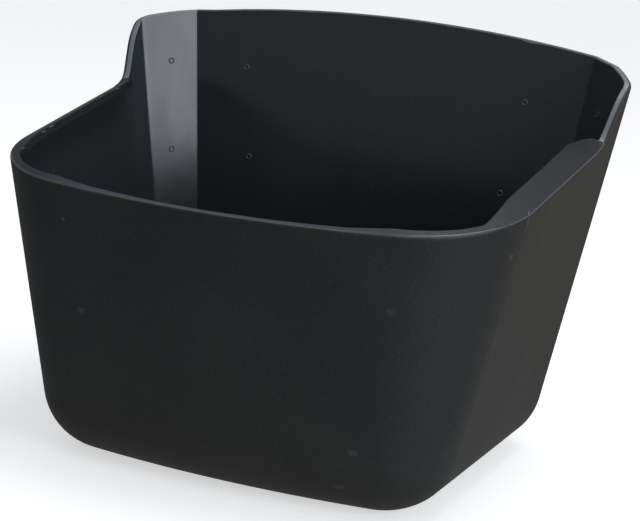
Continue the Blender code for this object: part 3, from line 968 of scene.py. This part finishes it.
class BOWL_OT_set_stage(bpy.types.Operator):
    """Lays the floor, hangs the soft lamps and stands the camera"""
    bl_idname = "bowl.set_stage"
    bl_label = "Set the stage"
    SENSOR = 36.0
    WHITE = (1.0, 1.0, 1.0, 1.0)
    FLOOR_REACH = 30.0
    FLOOR_DROP = 0.0002
    FLOOR_COLOUR = (0.80, 0.80, 0.80, 1.0)
    FLOOR_GLOW = 0.55
    ROOM_COLOUR = (0.90, 0.95, 1.0, 1.0)
    ROOM_LIGHT = (0.26, 0.60)    # strength of the room's light from the left and from the right
    BOUNCE = (0.27, 0.28, 0.285)
    WARM_BOUNCE = (0.48, 0.42, 0.34)
    WARM_FROM = (-0.05, 0.45)    # where the floor turns warm, from and to a distance behind the middle
    NEAR_COLOUR = (1.0, 0.95, 0.88, 1.0)
    NEAR_LIGHT = (0.12, 0.34, 0.22, 0.0)    # from and to a distance from the middle, and strengths there

    # Lamps: place, the spot that it is aimed at, width, height and colour
    TOP_LAMP = ((0.3, 0.1, 1.7), (0.0, 0.0, 0.2), 0.8, 0.7, (0.94, 0.97, 1.0))
    SIDE_LAMP = ((1.75, -0.72, 0.645), (-0.16, 0.1, 0.22), 0.65, 1.1, (0.855, 0.913, 1.0))

    def show(self, tree, output, hidden, seen):
        """Gives the camera's rays one shader and all others another."""
        camera = add_node(tree, "LightPath").outputs["Is Camera Ray"]
        choose = add_node(tree, "MixShader", {"Fac": camera, 1: hidden, 2: seen})
        feed(tree.nodes[output], "Surface", choose.outputs["Shader"])

    def lit_floor(self, tree, colour, glow, strength):
        """A floor that takes light and gives some of its own."""
        taken = add_node(tree, "BsdfDiffuse", {"Color": colour}).outputs["BSDF"]
        given = add_node(tree, "Emission", {"Color": glow, "Strength": strength}).outputs["Emission"]
        return add_node(tree, "AddShader", {0: taken, 1: given}).outputs["Shader"]

    def lay_floor(self):
        """A pale floor, which the bowl sees darker, warm behind it and bright round its foot."""
        mesh = bmesh.new()
        bmesh.ops.create_grid(mesh, x_segments=1, y_segments=1, size=self.FLOOR_REACH)
        bmesh.ops.translate(mesh, vec=(0.0, 0.0, -self.FLOOR_DROP), verts=mesh.verts[:])
        material = bpy.data.materials.new("pale_floor")
        material.use_nodes = True
        tree = material.node_tree
        tree.nodes.remove(tree.nodes["Principled BSDF"])
        place = add_node(tree, "TexCoord").outputs["Object"]
        behind = add_node(tree, "SeparateXYZ", {"Vector": place}).outputs["Y"]
        warm = remap(tree, behind, *self.WARM_FROM, 0.0, 1.0)
        near = remap(tree, length_of(tree, place), *self.NEAR_LIGHT)
        bounce = blend(tree, warm, self.BOUNCE, self.WARM_BOUNCE)
        hidden = self.lit_floor(tree, bounce, self.NEAR_COLOUR, near)
        seen = self.lit_floor(tree, self.FLOOR_COLOUR, self.WHITE, self.FLOOR_GLOW)
        self.show(tree, "Material Output", hidden, seen)
        floor = new_piece("floor", mesh, (material,))
        floor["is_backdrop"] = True

    def light_world(self, scene):
        """A pale room, brighter on the right, where the camera sees plain white."""
        world = bpy.data.worlds.new("studio")
        scene.world = world
        world.use_nodes = True
        tree = world.node_tree
        room = tree.nodes["Background"]
        sky = add_node(tree, "TexCoord").outputs["Generated"]
        across = add_node(tree, "SeparateXYZ", {"Vector": sky}).outputs["X"]
        feed(room, "Color", self.ROOM_COLOUR)
        feed(room, "Strength", remap(tree, across, -1.0, 1.0, *self.ROOM_LIGHT))
        white = add_node(tree, "Background", {"Color": self.WHITE})
        self.show(tree, "World Output", room.outputs["Background"], white.outputs["Background"])

    def hang_lamp(self, scene, name, lamp, power):
        place, aim, width, height, colour = lamp
        data = bpy.data.lights.new(name, "AREA")
        data.shape = "RECTANGLE"
        data.size = width
        data.size_y = height
        data.energy = power
        data.color = colour
        hung = bpy.data.objects.new(name, data)
        hung.location = place
        hung.rotation_euler = (Vector(aim) - Vector(place)).to_track_quat("-Z", "Y").to_euler()
        scene.collection.objects.link(hung)

    def execute(self, context):
        scene = context.scene
        stage = scene.bowl_stage
        self.lay_floor()
        self.light_world(scene)
        self.hang_lamp(scene, "top_lamp", self.TOP_LAMP, stage.top_strength)
        self.hang_lamp(scene, "side_lamp", self.SIDE_LAMP, stage.side_strength)
        data = bpy.data.cameras.new("camera")
        data.sensor_width = self.SENSOR
        data.lens = stage.lens
        camera = bpy.data.objects.new("camera", data)
        turn = Matrix.Rotation(stage.camera_turn, 4, "Z")
        drop = Matrix.Rotation(math.pi / 2 - stage.camera_drop, 4, "X")
        roll = Matrix.Rotation(stage.camera_roll, 4, "Z")
        camera.matrix_world = Matrix.Translation(stage.camera_place) @ turn @ drop @ roll
        scene.collection.objects.link(camera)
        scene.camera = camera
        scene.view_settings.view_transform = "Standard"
        return {"FINISHED"}


class BOWL_PT_sidebar(bpy.types.Panel):
    """Sizes, finishes and steps of the feeding bowl"""
    bl_idname = "BOWL_PT_sidebar"
    bl_label = "Feeding bowl"
    bl_space_type = "VIEW_3D"
    bl_region_type = "UI"
    bl_category = "Bowl"

    def draw(self, context):
        layout = self.layout
        for group, _ in GROUPS:
            settings = getattr(context.scene, group)
            box = layout.box()
            for name in settings.__annotations__:
                box.prop(settings, name)
        for step in STEPS:
            layout.operator(step.bl_idname)


GROUPS = (
    ("bowl_shape", BowlShape),
    ("bowl_detail", BowlDetail),
    ("bowl_finish", BowlFinish),
    ("bowl_stage", BowlStage),
)
STEPS = (BOWL_OT_mould_tub, BOWL_OT_raise_marks, BOWL_OT_leave_burrs, BOWL_OT_set_stage)


def register():
    for name, group in GROUPS:
        bpy.utils.register_class(group)
        setattr(bpy.types.Scene, name, bpy.props.PointerProperty(type=group))
    for step in STEPS:
        bpy.utils.register_class(step)
    bpy.utils.register_class(BOWL_PT_sidebar)


def unregister():
    bpy.utils.unregister_class(BOWL_PT_sidebar)
    for step in reversed(STEPS):
        bpy.utils.unregister_class(step)
    for name, group in reversed(GROUPS):
        delattr(bpy.types.Scene, name)
        bpy.utils.unregister_class(group)


def main():
    register()
    bpy.ops.bowl.mould_tub()
    bpy.ops.bowl.raise_marks()
    bpy.ops.bowl.leave_burrs()
    bpy.ops.bowl.set_stage()
    boxes = {"cad": cad_box, "visual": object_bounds()}
    plain = {name: [list(corner) for corner in box] for name, box in boxes.items()}


if __name__ == "__main__":
    main()
